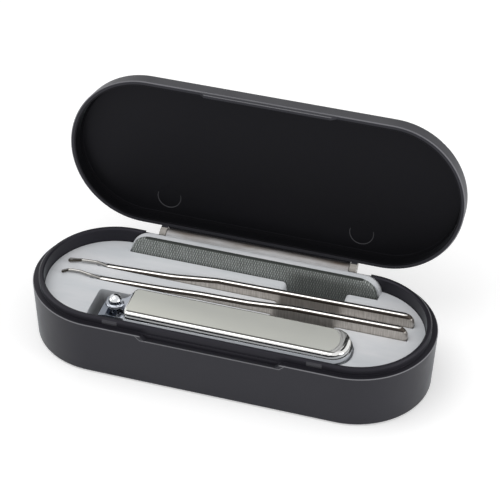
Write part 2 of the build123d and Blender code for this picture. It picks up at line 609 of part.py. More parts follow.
def clipper_pin():
    """The pin through both jaws: flat foot, shaft and domed head over the lever."""
    jaw_under = LOWER_TAIL_UNDER - LOWER_JAW_FALL + LOWER_SLOPE * (PIN_X - JAW_BEND_X)
    foot_low = LOWER_TAIL_UNDER - LOWER_JAW_FALL - PIN_FOOT_THICK - SLOT_FLOOR_GAP
    head_low = lever_head_top() + PIN_HEAD_GAP
    dome_radius = (PIN_HEAD_RADIUS**2 + PIN_HEAD_HEIGHT**2) / (2 * PIN_HEAD_HEIGHT)
    dome_low = head_low + PIN_HEAD_HEIGHT - dome_radius
    shaft = Cylinder(PIN_RADIUS, head_low - foot_low, align=(Align.CENTER,) * 2 + (Align.MIN,))
    foot_height = jaw_under - LOWER_SLOPE * PIN_FOOT_RADIUS - foot_low
    foot = Cylinder(PIN_FOOT_RADIUS, foot_height, align=(Align.CENTER,) * 2 + (Align.MIN,))
    head = Cylinder(PIN_HEAD_RADIUS, PIN_HEAD_HEIGHT, align=(Align.CENTER,) * 2 + (Align.MIN,))
    head = Pos(0, 0, head_low) * head & Pos(0, 0, dome_low) * Sphere(dome_radius)
    body = Pos(0, 0, foot_low) * (shaft + foot) + head
    return Pos(PIN_X, CLIP_Y, 0) * body


def clipper_tail_rivet():
    """Flush rivet that joins the jaws at the tail."""
    low = LOWER_TAIL_UNDER - LOWER_SLOPE * RIVET_SETBACK
    high = UPPER_TAIL_TOP - UPPER_SLOPE * RIVET_SETBACK
    rivet = Cylinder(RIVET_RADIUS, high - low)
    rivet = chamfer(rivet.edges(), RIVET_CHAMFER)
    return Pos(RIVET_X, CLIP_Y, (low + high) / 2) * rivet


def lever_profile():
    """Side outline of the lever: head, S bend, straight body and thinning tail."""
    left = PIN_X - LEVER_HEAD_RADIUS
    right = CLIP_RIGHT - LEVER_SHORT
    top = lever_head_top()
    tail_x = right - LEVER_TAIL_LENGTH
    tail_top = (right, LEVER_UNDER + LEVER_TAIL_THICK)
    edges = Polyline(
        tail_top, (right, LEVER_UNDER), (SHOULDER_X + LEVER_BEND_INSET, LEVER_UNDER),
        (NECK_X + LEVER_BEND_INSET, top - LEVER_HEAD_THICK), (left, top - LEVER_HEAD_THICK), (left, top),
        (NECK_X, top), (SHOULDER_X, LEVER_TOP), (tail_x, LEVER_TOP))
    edges += TangentArc((tail_x, LEVER_TOP), tail_top, tangent=(1, 0))
    face = make_face(edges)
    bends = [v for v in face.vertices() if left + 1 < v.X < SHOULDER_X + 1]
    return Plane.XZ * fillet(bends, LEVER_THICK)


def lever_plan():
    """Plan of the lever: round head about the pin, flared neck, wide body, round end."""
    neck, wide = LEVER_NECK_WIDTH / 2, CLIP_WIDTH / 2
    right = CLIP_RIGHT - LEVER_SHORT
    upper = [(PIN_X, neck), (SHOULDER_X - LEVER_FLARE, neck), (SHOULDER_X, wide), (right, wide)]
    plan = make_face(Polyline(*upper, *[(x, -y) for x, y in reversed(upper)], close=True))
    plan = fillet(plan.vertices().group_by(Axis.X)[-1], LEVER_END_ROUND)
    corners = [v for v in plan.vertices() if abs(v.X - SHOULDER_X) < 0.1]
    plan = fillet(corners, LEVER_CORNER_ROUND)
    plan += Pos(PIN_X, 0) * Circle(LEVER_HEAD_RADIUS)
    waist = [v for v in plan.vertices() if PIN_X + 1 < v.X < SHOULDER_X - LEVER_FLARE / 2]
    return fillet(waist, LEVER_WAIST_ROUND)


def clipper_lever():
    """Lever folded flat on the jaws: slotted head under the pin, S bend, wide rounded body."""
    lever = across(lever_profile(), 0, 2 * CLIP_WIDTH) & extrude(lever_plan(), 2 * LIP_Z)
    slot_width = 2 * (PIN_RADIUS + LEVER_SLOT_SIDE_GAP)
    slot_length = 2 * (PIN_RADIUS + LEVER_SLOT_END_GAP)
    lever -= Pos(PIN_X, 0, 0) * extrude(SlotOverall(slot_length, slot_width), 2 * LIP_Z)
    crown = lever.faces().sort_by(Axis.Z)[-1].edges().sort_by(Axis.X)[1:]
    lever = fillet(crown, LEVER_EDGE_ROUND)
    return Pos(0, CLIP_Y, 0) * lever


PARTS = {
    "base_shell": base_shell,
    "insert_tray": insert_tray,
    "lid_shell": lid_shell,
    "hinge_pin": hinge_pin,
    "far_pick": far_pick,
    "near_pick": near_pick,
    "nail_file": nail_file,
    "clipper_lower_jaw": clipper_lower_jaw,
    "clipper_upper_jaw": clipper_upper_jaw,
    "clipper_pin": clipper_pin,
    "clipper_tail_rivet": clipper_tail_rivet,
    "clipper_lever": clipper_lever,
}

for name, build in PARTS.items():
    export_step(build(), f"parts/{name}.step")
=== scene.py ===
"""Looks of the manicure set case: finishes, the hinge web, studio and camera.

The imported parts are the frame.  This script dresses them and adds the web that closes
the lid's hinge side.  Blender works in metres, while sizes and places here are in mm
unless a name or a comment says otherwise.  X runs along the case, Y to the hinge and Z up.
"""

import logging
import math
from dataclasses import dataclass
from enum import Enum
from functools import partial, reduce

import bmesh
import bpy
from mathutils import Matrix, Vector


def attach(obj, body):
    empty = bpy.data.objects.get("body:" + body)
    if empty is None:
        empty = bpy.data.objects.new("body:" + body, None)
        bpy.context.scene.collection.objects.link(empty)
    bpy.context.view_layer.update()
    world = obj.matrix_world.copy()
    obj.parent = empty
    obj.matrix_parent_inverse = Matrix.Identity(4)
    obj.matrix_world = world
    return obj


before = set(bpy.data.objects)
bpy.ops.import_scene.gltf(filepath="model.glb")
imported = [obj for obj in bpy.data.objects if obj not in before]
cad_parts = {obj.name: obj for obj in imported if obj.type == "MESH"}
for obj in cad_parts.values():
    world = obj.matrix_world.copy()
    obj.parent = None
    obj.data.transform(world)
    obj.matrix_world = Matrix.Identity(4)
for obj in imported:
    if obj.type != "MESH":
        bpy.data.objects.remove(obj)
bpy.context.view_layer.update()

Tree = bpy.types.NodeTree
Node = bpy.types.Node
Feed = bpy.types.Node | bpy.types.NodeSocket | float  # what an input can take
Span = tuple[float, float]  # where something starts and where it ends

MM = 0.001
HINGE_Y, HINGE_Z = 25.1, 17.15  # the hinge's axis, which runs along X
OPEN_ANGLE = 98.8  # degrees by which the lid is stored open
LOG = logging.getLogger("manicure_case")


def linear(code: str) -> tuple[float, float, float, float]:
    """Turns an sRGB hex colour into linear light.

    Args:
        code: colour such as "#3c3b40".

    Returns:
        Red, green, blue and an alpha of 1.
    """
    values = [int(code[i:i + 2], 16) / 255 for i in (1, 3, 5)]
    parts = [v / 12.92 if v <= 0.04045 else ((v + 0.055) / 1.055) ** 2.4 for v in values]
    return (*parts, 1.0)


def add_node(tree: Tree, kind: str, inputs: dict | None = None, **settings: object) -> Node:
    """Adds a shader node with its settings, links and constants.

    Args:
        tree: node tree that takes the node.
        kind: Blender's node type without the "ShaderNode" prefix.
        inputs: name or number of an input to what it gets: a socket, a node, whose first
            output is taken, or a constant.
        **settings: properties of the node.

    Returns:
        The new node.
    """
    node = tree.nodes.new("ShaderNode" + kind)
    for name, value in settings.items():
        setattr(node, name, value)
    for key, value in (inputs or {}).items():
        if isinstance(value, bpy.types.Node):
            value = value.outputs[0]
        if isinstance(value, bpy.types.NodeSocket):
            tree.links.new(value, node.inputs[key])
        else:
            node.inputs[key].default_value = value
    return node


class Skin:
    """A material's surface while it is being built.

    Attributes:
        node: adds a node to the material.
        link: links a socket to another.
        shader: its Principled shader.
        place: node with the place on the piece.
        x: X of that place, and after close of the closed one.
        y: Y of it.
        z: Z of it.
    """

    def __init__(self, tree: Tree, plain: dict) -> None:
        """Starts with the plain surface.

        Args:
            tree: the material's node tree.
            plain: each input of the shader that isn't left alone, and its value.
        """
        tree.nodes.clear()
        self.node = partial(add_node, tree)
        self.link = tree.links.new
        self.shader = self.node("BsdfPrincipled", plain)
        self.node("OutputMaterial", {"Surface": self.shader})
        metres = self.node("TexCoord").outputs["Object"]
        self.place = self.node("Mapping", {"Vector": metres, "Scale": [1 / MM] * 3})
        self.read(self.place)

    def read(self, place: Node) -> None:
        """Takes X, Y and Z from a place."""
        self.x, self.y, self.z = self.node("SeparateXYZ", {"Vector": place}).outputs

    def close(self, angle: float) -> None:
        """Reads X, Y and Z as they are when a lid is closed.

        Args:
            angle: degrees by which the piece is stored open.
        """
        centred = self.node("Mapping", {"Vector": self.place,
                                        "Location": (0, -HINGE_Y, -HINGE_Z)})
        self.read(self.node("Mapping", {"Vector": centred, "Location": (0, HINGE_Y, HINGE_Z),
                                        "Rotation": (math.radians(angle), 0, 0)}))

    def calc(self, operation: str, first: Feed, second: Feed = 0.0,
             clamp: bool = False) -> Node:
        """Adds a Math node.

        Args:
            operation: Blender's name of the operation.
            first: socket, node or number.
            second: socket, node or number.
            clamp: keeps the result between 0 and 1.

        Returns:
            The node.
        """
        return self.node("Math", {0: first, 1: second}, operation=operation,
                         use_clamp=clamp)

    def less(self, first: Feed, second: Feed) -> Node:
        """Adds the first value less the second."""
        return self.calc("SUBTRACT", first, second)

    def above(self, value: Feed, limit: Feed) -> Node:
        """Adds a mask that is 1 where a value is over a limit, and 0 elsewhere."""
        return self.calc("GREATER_THAN", value, limit)

    def below(self, value: Feed, limit: Feed) -> Node:
        """Adds a mask that is 1 where a value is under a limit, and 0 elsewhere."""
        return self.calc("LESS_THAN", value, limit)

    def band(self, value: Feed, low: float, high: float) -> Feed:
        """Adds a mask that is 1 where a value is between two limits, and 0 elsewhere."""
        return self.overlap(self.above(value, low), self.below(value, high))

    def outside(self, mask: Feed) -> Node:
        """Adds the opposite of a mask."""
        return self.less(1.0, mask)

    def overlap(self, *masks: Feed) -> Feed:
        """Adds the product of masks, or of masks and a plain share."""
        return reduce(partial(self.calc, "MULTIPLY"), masks)

    def union(self, *masks: Feed) -> Feed:
        """Adds the highest of masks."""
        return reduce(partial(self.calc, "MAXIMUM"), masks)

    def reach(self, first: Feed, second: Feed) -> Node:
        """Adds the length that two sides at right angles give."""
        square = self.calc("ADD", self.overlap(first, first), self.overlap(second, second))
        return self.calc("SQRT", square)

    def grain(self, size: float | tuple[float, float, float], detail: float = 3.0) -> Node:
        """Adds noise whose grains have a real size.

        Args:
            size: grain size, or its sizes along X, Y and Z.
            detail: octaves of the noise.

        Returns:
            The noise, from 0 to 1.
        """
        sizes = size if isinstance(size, tuple) else (size,) * 3
        stretch = self.node("Mapping", {"Vector": self.place, "Scale": [1 / s for s in sizes]})
        return self.node("TexNoise", {"Vector": stretch, "Scale": 1.0, "Detail": detail,
                                      "Roughness": 0.55})

    def spread(self, value: Feed, low: float, high: float, start: float = 0.3,
               end: float = 0.7) -> Node:
        """Adds a ramp from one number to another, held level past its ends.

        Args:
            value: what drives the ramp; grain lies mostly from 0.3 to 0.7.
            low: result at start.
            high: result at end.
            start: value that gives low.
            end: value that gives high.

        Returns:
            The ramp.
        """
        return self.node("MapRange", {"Value": value, "From Min": start, "From Max": end,
                                      "To Min": low, "To Max": high})

    def cover(self, name: str, *layers: tuple[Feed, str | float]) -> None:
        """Lays colours or numbers over what an input of the shader has so far.

        Args:
            name: the input.
            *layers: from the lowest up, a mask and the sRGB hex or the number that
                covers the input where the mask is 1.
        """
        socket = self.shader.inputs[name]
        for mask, over in layers:
            tinted = isinstance(over, str)
            mix = self.node("Mix", {0: mask}, data_type="RGBA" if tinted else "FLOAT")
            if socket.links:
                self.link(socket.links[0].from_socket, mix.inputs["A"])
            else:
                mix.inputs["A"].default_value = socket.default_value
            mix.inputs["B"].default_value = linear(over) if tinted else over
            self.link(mix.outputs["Result"], socket)

    def roughen(self, pattern: Feed, less: float, more: float) -> None:
        """Varies the plain roughness by a pattern.

        Args:
            pattern: pattern from 0 to 1.
            less: how far the roughness falls at the pattern's low end.
            more: how far it rises at its high end.
        """
        socket = self.shader.inputs["Roughness"]
        plain = socket.default_value
        ramp = self.spread(pattern, plain - less, plain + more)
        self.link(ramp.outputs[0], socket)

    def relief(self, height: Feed, depth: float, strength: float = 1.0,
               edge: float = 0.0) -> None:
        """Adds relief, and rounds what the light sees of the edges.

        Args:
            height: pattern from 0 to 1.
            depth: relief from 0 to 1 of the pattern.
            strength: share of the relief that shows.
            edge: radius to which edges look rounded, or 0 for sharp ones.
        """
        inputs = {"Height": height, "Distance": depth * MM, "Strength": strength}
        if edge > 0:
            inputs["Normal"] = self.node("Bevel", {"Radius": edge * MM})
        self.link(self.node("Bump", inputs).outputs[0], self.shader.inputs["Normal"])


@dataclass(frozen=True)
class Stadium:
    """The case's outline: straight sides with half-round ends.

    Attributes:
        half_length: half of its length.
        half_width: half of its width, which is also the ends' radius.
    """

    half_length: float = 59.95
    half_width: float = 23.2

    def depth(self, skin: Skin) -> Node:
        """Adds nodes that give how far a place lies inside the outline.

        Args:
            skin: the material's surface.

        Returns:
            The depth, which is negative outside.
        """
        straight = self.half_length - self.half_width
        past = skin.calc("MAXIMUM", skin.less(skin.calc("ABSOLUTE", skin.x), straight), 0.0)
        return skin.less(self.half_width, skin.reach(past, skin.y))


@dataclass(frozen=True)
class Finish:
    """A finish that every piece of one stuff shares.

    Attributes:
        name: what the stuff is and how its surface was made.
        colour: sRGB hex of the plain surface.
        roughness: of the plain surface.
        metallic: 1 for bare metal.
        specular: specular level.
    """

    name: str
    colour: str
    roughness: float
    metallic: float = 0.0
    specular: float = 0.5

    def material(self) -> bpy.types.Material:
        """Makes the material, with the pattern that the subclass adds.

        Returns:
            The material.
        """
        made = bpy.data.materials.new(self.name)
        made.use_nodes = True
        self.pattern(Skin(made.node_tree, {
            "Base Color": linear(self.colour), "Roughness": self.roughness,
            "Metallic": self.metallic, "Specular IOR Level": self.specular}))
        return made

    def pattern(self, skin: Skin) -> None:
        """Adds what varies over the surface; the plain finish has nothing."""


@dataclass(frozen=True)
class CaseShellABS(Finish):
    """Charcoal ABS: satin outside, plain inside with painted shade, and painted edge
    highlights.

    Heights and places are those of the closed case: an open lid is read back to it.

    Attributes:
        open_angle: degrees by which this shell is stored open.
        inner: sRGB hex inside, darker than outside as painted shade.
        inner_roughness: of the inside.
        wall: depth under the outline from which the wall counts as inside.
        inside_heights: heights between which the inside is seen.
        edge: sRGB hex of the painted highlights on the edges.
        edge_low: height where the rim's painted highlight starts.
        edge_high: height where it ends.
        edge_depth: how far under the outline it reaches.
        edge_round: radius to which moulded edges look rounded.
        highlight_fade: Y between which that painted highlight fades out towards the hinge.
        notch_half: half the length of the latch notch, or 0 without one.
        notch_low: height of the notch.
        notch_depth: how far under the outline its painted highlight reaches.
        notch_line: heights from the notch between which that edge lies.
        bead_x: X of the snap beads, or 0 without them.
        bead_half: half the length of a bead.
        bead_heights: heights between which a bead stands out.
        bead_depths: depths under the outline between which it lies.
        bead_share: how far the beads are paler.
        ring_places: X of the ejector marks.
        ring_y: Y of the ejector marks.
        ring_radius: of the ejector marks.
        ring_width: half the width of a mark's lit edge.
        ring_share: how far that edge shows.
        ring_from: Y from a mark's centre from which its edge is lit.
        ring_below: how far under the inside's top a mark may lie.
        ear: sRGB hex of what stands out behind the outline at the hinge.
        ear_depth: depth under the outline below which that starts.
        crease: heights between which the lid's inner corner is painted darker as shade.
        crease_shade: sRGB hex of that corner.
        sheen: weight of the satin's sheen.
        sheen_roughness: of the sheen.
        sheen_tint: sRGB hex of the sheen.
        gloss_tint: sRGB hex of the gloss seen head-on.
        wear: size of the patches worn smoother.
        pit: size of the eroded pits.
    """

    open_angle: float = 0.0
    inner: str = "#121214"
    inner_roughness: float = 0.42
    wall: float = 1.1
    inside_heights: Span = (-1.0, 99.0)
    edge: str = "#77777a"
    edge_low: float = 17.78
    edge_high: float = 18.02
    edge_depth: float = 0.24
    edge_round: float = 0.22
    highlight_fade: Span = (10.0, 20.0)
    notch_half: float = 0.0
    notch_low: float = 16.5
    notch_depth: float = 0.3
    notch_line: Span = (-0.2, 0.06)
    bead_x: float = 0.0
    bead_half: float = 2.2
    bead_heights: Span = (18.4, 19.9)
    bead_depths: Span = (1.4, 1.95)
    bead_share: float = 0.22
    ring_places: tuple[float, ...] = ()
    ring_y: float = 15.4
    ring_radius: float = 3.6
    ring_width: float = 0.12
    ring_share: float = 0.3
    ring_from: float = -1.0
    ring_below: float = 1.6
    ear: str = "#b0aca6"
    ear_depth: float = -0.15
    crease: Span = (21.7, 22.57)
    crease_shade: str = "#050506"
    sheen: float = 0.3
    sheen_roughness: float = 0.25
    sheen_tint: str = "#d4e0e6"
    gloss_tint: str = "#f1f0ff"
    wear: float = 9.0
    # Spark erosion leaves pits about 0.05 mm wide; drawn coarser so that they show.
    pit: float = 0.3

    def pattern(self, skin: Skin) -> None:
        """Mixes the outside, the inside's painted shade and the painted highlights by place.

        Args:
            skin: the material's surface.
        """
        skin.close(self.open_angle)
        depth = Stadium().depth(skin)
        inside = self.inside(skin, depth)
        # The inside is painted darker as shade; rim, notch and marks get painted highlights.
        skin.cover("Base Color", (inside, self.inner), (self.painted_highlights_and_beads(skin, depth), self.edge),
                   (skin.below(depth, self.ear_depth), self.ear))
        skin.roughen(skin.grain(self.wear, detail=4.0), less=0.03, more=0.05)
        skin.cover("Roughness", (inside, self.inner_roughness))
        if self.open_angle > 0:
            # Painted shade in the lid's inner corner.
            crease = skin.overlap(skin.band(skin.z, *self.crease), inside)
            skin.cover("Base Color", (crease, self.crease_shade))
            skin.cover("Roughness", (crease, 1.0))
        for name, value in (("Sheen Weight", self.sheen),
                            ("Sheen Roughness", self.sheen_roughness),
                            ("Sheen Tint", linear(self.sheen_tint)),
                            ("Specular Tint", linear(self.gloss_tint))):
            skin.shader.inputs[name].default_value = value
        pits = skin.overlap(skin.grain(self.pit, detail=2.0), skin.outside(inside))
        skin.relief(pits, depth=0.01, strength=0.5, edge=self.edge_round)

    def inside(self, skin: Skin, depth: Node) -> Feed:
        """Adds the mask of the shell's inside, and of the base's lip and ledge.

        Args:
            skin: the material's surface.
            depth: node with the depth under the outline.

        Returns:
            The mask.
        """
        inside = skin.overlap(skin.above(depth, self.wall),
                              skin.band(skin.z, *self.inside_heights))
        if self.open_angle > 0:
            return inside
        ledge = skin.overlap(skin.above(skin.z, self.edge_low),
                             skin.above(depth, self.edge_depth))
        return skin.union(inside, ledge)

    def painted_highlights_and_beads(self, skin: Skin, depth: Node) -> Feed:
        """Adds the mask of all that is pale: painted highlights, and the beads' paler patch.

        Args:
            skin: the material's surface.
            depth: node with the depth under the outline.

        Returns:
            The mask.
        """
        masks = [skin.overlap(skin.band(skin.z, self.edge_low, self.edge_high),
                              skin.below(depth, self.edge_depth),
                              skin.spread(skin.y, 1.0, 0.0, *self.highlight_fade))]
        if self.notch_half > 0:
            masks.append(self.notch(skin, depth))
        if self.bead_x > 0:
            masks.append(skin.overlap(self.bead(skin, depth), self.bead_share))
        masks += [skin.overlap(self.ring(skin, x), self.ring_share) for x in self.ring_places]
        return skin.union(*masks)

    def notch(self, skin: Skin, depth: Node) -> Feed:
        """Adds the mask of the painted highlight on the latch notch's lower edge.

        Args:
            skin: the material's surface.
            depth: node with the depth under the outline.

        Returns:
            The mask.
        """
        # The notch's ends slope, so that its edge climbs to the rim.
        past = skin.less(skin.calc("ABSOLUTE", skin.x), self.notch_half)
        climb = skin.calc("MAXIMUM", past, 0.0)
        level = skin.less(skin.less(skin.z, climb), self.notch_low)
        return skin.overlap(skin.band(level, *self.notch_line),
                            skin.below(depth, self.notch_depth), skin.below(skin.y, 0.0),
                            skin.below(skin.z, self.edge_high))

    def bead(self, skin: Skin, depth: Node) -> Feed:
        """Adds the mask of the snap beads on the front of the lip.

        Args:
            skin: the material's surface.
            depth: node with the depth under the outline.

        Returns:
            The mask.
        """
        length = skin.band(skin.calc("ABSOLUTE", skin.x), self.bead_x - self.bead_half,
                           self.bead_x + self.bead_half)
        return skin.overlap(length, skin.band(skin.z, *self.bead_heights),
                            skin.band(depth, *self.bead_depths), skin.below(skin.y, 0.0))

    def ring(self, skin: Skin, ring_x: float) -> Feed:
        """Adds the mask of the lit edge of an ejector mark on the lid's ceiling.

        Args:
            skin: the material's surface.
            ring_x: X of the mark.

        Returns:
            The mask.
        """
        along = skin.less(skin.y, self.ring_y)
        edge = skin.band(skin.reach(skin.less(skin.x, ring_x), along),
                         self.ring_radius - self.ring_width,
                         self.ring_radius + self.ring_width)
        top = self.inside_heights[1]
        return skin.overlap(edge, skin.band(skin.z, top - self.ring_below, top),
                            skin.above(along, self.ring_from))


@dataclass(frozen=True)
class TrayPolystyrene(Finish):
    """Pale grey polystyrene, injection moulded smooth, with painted shade where the lid turns.

    Attributes:
        flow: size of the flow marks.
        flow_shade: sRGB hex of the flow marks.
        hinge_shade: sRGB hex of the painted shade on the hinge strip.
        hinge_shade_from: Y at which that painted shade starts and at which it is full.
        hinge_shade_patch: size of its patches.
        hinge_shade_least: how far it covers between its patches.
        dark: sRGB hex of the deeper painted shade under the lid and in the clipper's pocket.
        dark_from: Y at which that deeper painted shade starts and at which it is full.
        pocket_x: X left of which the pocket gets painted shade.
        pocket_heights: heights between which that painted shade fades out.
        pocket_share: how far it covers the pocket's floor.
        texture: size of the mould's faint texture.
        edge_round: radius to which moulded edges look rounded.
    """

    flow: tuple[float, float, float] = (28.0, 7.0, 7.0)
    flow_shade: str = "#d9dde1"
    hinge_shade: str = "#766a60"
    hinge_shade_from: Span = (22.2, 24.6)
    hinge_shade_patch: tuple[float, float, float] = (9.0, 2.5, 2.5)
    hinge_shade_least: float = 0.5
    dark: str = "#2a2624"
    dark_from: Span = (23.9, 25.7)
    pocket_x: float = -27.0
    pocket_heights: Span = (11.5, 15.0)
    pocket_share: float = 0.42
    texture: float = 1.6
    edge_round: float = 0.12

    def pattern(self, skin: Skin) -> None:
        """Adds flow marks that run along the tray, and the painted shade.

        Args:
            skin: the material's surface.
        """
        flow = skin.grain(self.flow)
        # Painted shade, patchy on the hinge strip, deeper under the lid and in the pocket.
        patches = skin.spread(skin.grain(self.hinge_shade_patch, detail=4.0), self.hinge_shade_least, 1.0)
        painted_shade = skin.overlap(skin.spread(skin.y, 0.0, 1.0, *self.hinge_shade_from), patches)
        crevice_shade = skin.spread(skin.y, 0.0, 1.0, *self.dark_from)
        pocket = skin.overlap(
            skin.spread(skin.z, self.pocket_share, 0.0, *self.pocket_heights),
            skin.below(skin.x, self.pocket_x), skin.below(skin.y, 0.0))
        skin.cover("Base Color", (skin.spread(flow, 0.0, 1.0), self.flow_shade),
                   (painted_shade, self.hinge_shade), (skin.union(crevice_shade, pocket), self.dark))
        skin.roughen(flow, less=0.04, more=0.06)
        skin.relief(skin.grain(self.texture), depth=0.008, strength=0.5, edge=self.edge_round)


@dataclass(frozen=True)
class SatinSteel(Finish):
    """Stainless steel, blasted satin on top and left bright round its edges.

    Attributes:
        satin_above: height above which the steel is satin.
        satin_right: X at which the satin ends in an arc.
        arc_y: Y of the arc's centre.
        arc_radius: of that arc.
        satin_front: Y of the satin's front edge.
        strip_shade: sRGB hex of the painted reflection on the top face in front of the satin.
        pale: sRGB hex of the satin's paler stretch.
        pale_share: how far it is pale at its front left.
        pale_front: Y between which the pale stretch fades.
        pale_left: X between which it fades.
        bright: sRGB hex of the bright steel.
        bright_rough: roughness of the bright steel.
        end_rough: roughness of the top face past the satin.
        neck_x: X left of which the neck gets painted shade.
        neck_shade: sRGB hex of that painted shade.
        cloud: size of the satin's clouds.
        pit: size of the blasted pits.
        pit_share: their relief as a share of the ripples'.
        ripple: pitch of the buffing ripples at the end.
        ripple_from: how far past the arc's centre the ripples start.
    """

    satin_above: float = 19.27
    satin_right: float = 34.3
    arc_y: float = -10.0
    arc_radius: float = 6.5
    satin_front: float = -14.6
    strip_shade: str = "#797975"
    pale: str = "#f3f3e8"
    pale_share: float = 0.35
    pale_front: Span = (-14.5, -8.0)
    pale_left: Span = (-24.0, 22.0)
    bright: str = "#e4e4e2"
    bright_rough: float = 0.12
    end_rough: float = 0.36
    neck_x: float = -27.9
    neck_shade: str = "#a4a8b0"
    cloud: tuple[float, float, float] = (14.0, 5.0, 5.0)
    # Blasting leaves pits under 0.05 mm; drawn coarser so that they show.
    pit: float = 0.2
    pit_share: float = 0.05
    ripple: float = 0.85
    ripple_from: float = 3.0

    def pattern(self, skin: Skin) -> None:
        """Mixes satin and bright steel by place.

        Args:
            skin: the material's surface.
        """
        flat = skin.above(skin.z, self.satin_above)
        along = skin.calc("MAXIMUM", skin.less(skin.x, self.satin_right - self.arc_radius),
                          0.0)
        radius = skin.reach(along, skin.less(skin.y, self.arc_y))
        behind = skin.above(skin.y, self.satin_front)
        satin = skin.overlap(flat, skin.below(radius, self.arc_radius), behind)
        gloss = skin.outside(satin)
        pale = skin.overlap(
            skin.spread(skin.y, self.pale_share, 0.0, *self.pale_front),
            skin.spread(skin.x, 1.0, 0.0, *self.pale_left), satin)
        # The strip in front of the satin gets a painted reflection, the neck painted shade.
        skin.cover("Base Color", (gloss, self.bright),
                   (skin.overlap(flat, skin.outside(behind)), self.strip_shade),
                   (pale, self.pale), (skin.below(skin.x, self.neck_x), self.neck_shade))
        skin.roughen(skin.grain(self.cloud), less=0.03, more=0.04)
        skin.cover("Roughness", (gloss, self.bright_rough),
                   (skin.overlap(flat, gloss), self.end_rough))
        skin.cover("Metallic", (gloss, 1.0))
        pits = skin.overlap(skin.grain(self.pit, detail=2.0), satin, self.pit_share)
        # Buffing leaves ripples in arcs round the end.
        wave = skin.calc("SINE", skin.calc("MULTIPLY", radius, math.tau / self.ripple))
        ripple = skin.overlap(wave, skin.above(along, self.ripple_from), gloss)
        skin.relief(skin.calc("ADD", pits, ripple), depth=0.016)


@dataclass(frozen=True)
class Hollow:
    """The inside of a pick's scoop, which takes painted shade.

    Attributes:
        front_x: X of a point on the hollow's front edge.
        front_y: Y of that point.
        slope: of the front edge, Y for each X.
        middle: height of the hollow's middle.
        half: half of its height.
        right: X of its right end.
    """

    front_x: float
    front_y: float
    slope: float
    middle: float
    half: float
    right: float

    def mask(self, skin: Skin) -> Feed:
        """Adds the mask of the hollow.

        Args:
            skin: the material's surface.

        Returns:
            The mask.
        """
        lean = skin.calc("MULTIPLY", skin.less(skin.x, self.front_x), self.slope)
        return skin.overlap(
            skin.below(skin.less(skin.y, lean), self.front_y),
            skin.band(skin.z, self.middle - self.half, self.middle + self.half),
            skin.below(skin.x, self.right))


def pick_profile(end: float, halves: tuple[tuple[float, float], ...]
                 ) -> tuple[tuple[float, float], ...]:
    """Gives the height of a pick's top along X.

    Args:
        end: X of the handle's end.
        halves: distance from that end and half the strip's height there.

    Returns:
        X and top height, from left to right.
    """
    # The strip lies tilted about the middle of its handle.
    middle, level_x, fall = 16.2, 20.8, math.tan(math.radians(0.85))
    stations = (*reversed(halves), (0.0, halves[0][1]))
    return tuple((end - far, middle + half + (end - far - level_x) * fall)
                 for far, half in stations)


@dataclass(frozen=True, kw_only=True)
class GroundSteel(Finish):
    """Stainless steel strip: faces ground across, round top edge buffed bright.

    Attributes:
        profile: X and top height of the strip, from left to right.
        hollow: inside of the scoop.
        slim_left: X left of which the strip's whole side is in the painted dark line.
        rounding: how far below the top the bright edge reaches.
        line: height of the dark line under the bright edge, a painted reflection.
        line_shade: sRGB hex of that line and of the notch's painted reflection.
        notch: X between which the strip has a painted reflection of the finger notch.
        notch_reflection_share: how far that painted reflection shows.
        wire_left: X left of which the pick is round wire.
        wire: sRGB hex of the wire.
        painted_shade: sRGB hex of the painted shade in the scoop's inside.
        bright: sRGB hex of the buffed edge.
        bright_rough: roughness of the buffed edge.
        shade: sRGB hex of the darker grinding marks.
        shade_share: how far they show.
        scratch: size of the grinding marks.
    """

    profile: tuple[tuple[float, float], ...]
    hollow: Hollow
    slim_left: float
    rounding: float = 0.22
    line: float = 0.95
    line_shade: str = "#48413b"
    notch: Span = (12.2, 29.6)
    notch_reflection_share: float = 0.25
    wire_left: float = -40.5
    wire: str = "#a5a3a0"
    painted_shade: str = "#45413b"
    bright: str = "#e6e3df"
    bright_rough: float = 0.14
    shade: str = "#a39c94"
    shade_share: float = 0.7
    # A grinding belt leaves marks about 0.1 mm apart; drawn coarser so that they show.
    scratch: tuple[float, float, float] = (0.25, 0.25, 5.0)

    def pattern(self, skin: Skin) -> None:
        """Adds grinding marks, the buffed edge, the wire, and painted shade and reflections.

        Args:
            skin: the material's surface.
        """
        fine = skin.grain(self.scratch, detail=2.0)
        top = self.profile[0][1] - self.rounding
        for (left, low), (right, high) in zip(self.profile, self.profile[1:]):
            top = skin.calc("ADD", skin.spread(skin.x, 0.0, high - low, left, right), top)
        wire = skin.below(skin.x, self.wire_left)
        edge = skin.union(skin.above(skin.z, top), wire)
        # The dark line under the edge and the stretch over the notch are painted reflections.
        dark = skin.union(skin.above(skin.z, skin.less(top, self.line)),
                          skin.below(skin.x, self.slim_left))
        notch_reflection = skin.overlap(skin.band(skin.x, *self.notch), self.notch_reflection_share)
        # The scoop's inside is darkened as painted shade.
        skin.cover("Base Color", (skin.spread(fine, 0.0, self.shade_share), self.shade),
                   (notch_reflection, self.line_shade), (dark, self.line_shade), (edge, self.bright),
                   (wire, self.wire), (self.hollow.mask(skin), self.painted_shade))
        skin.roughen(fine, less=0.04, more=0.06)
        skin.cover("Roughness", (edge, self.bright_rough))
        skin.cover("Metallic", (edge, 1.0))
        skin.relief(skin.overlap(fine, skin.outside(edge)), depth=0.004, strength=0.5)


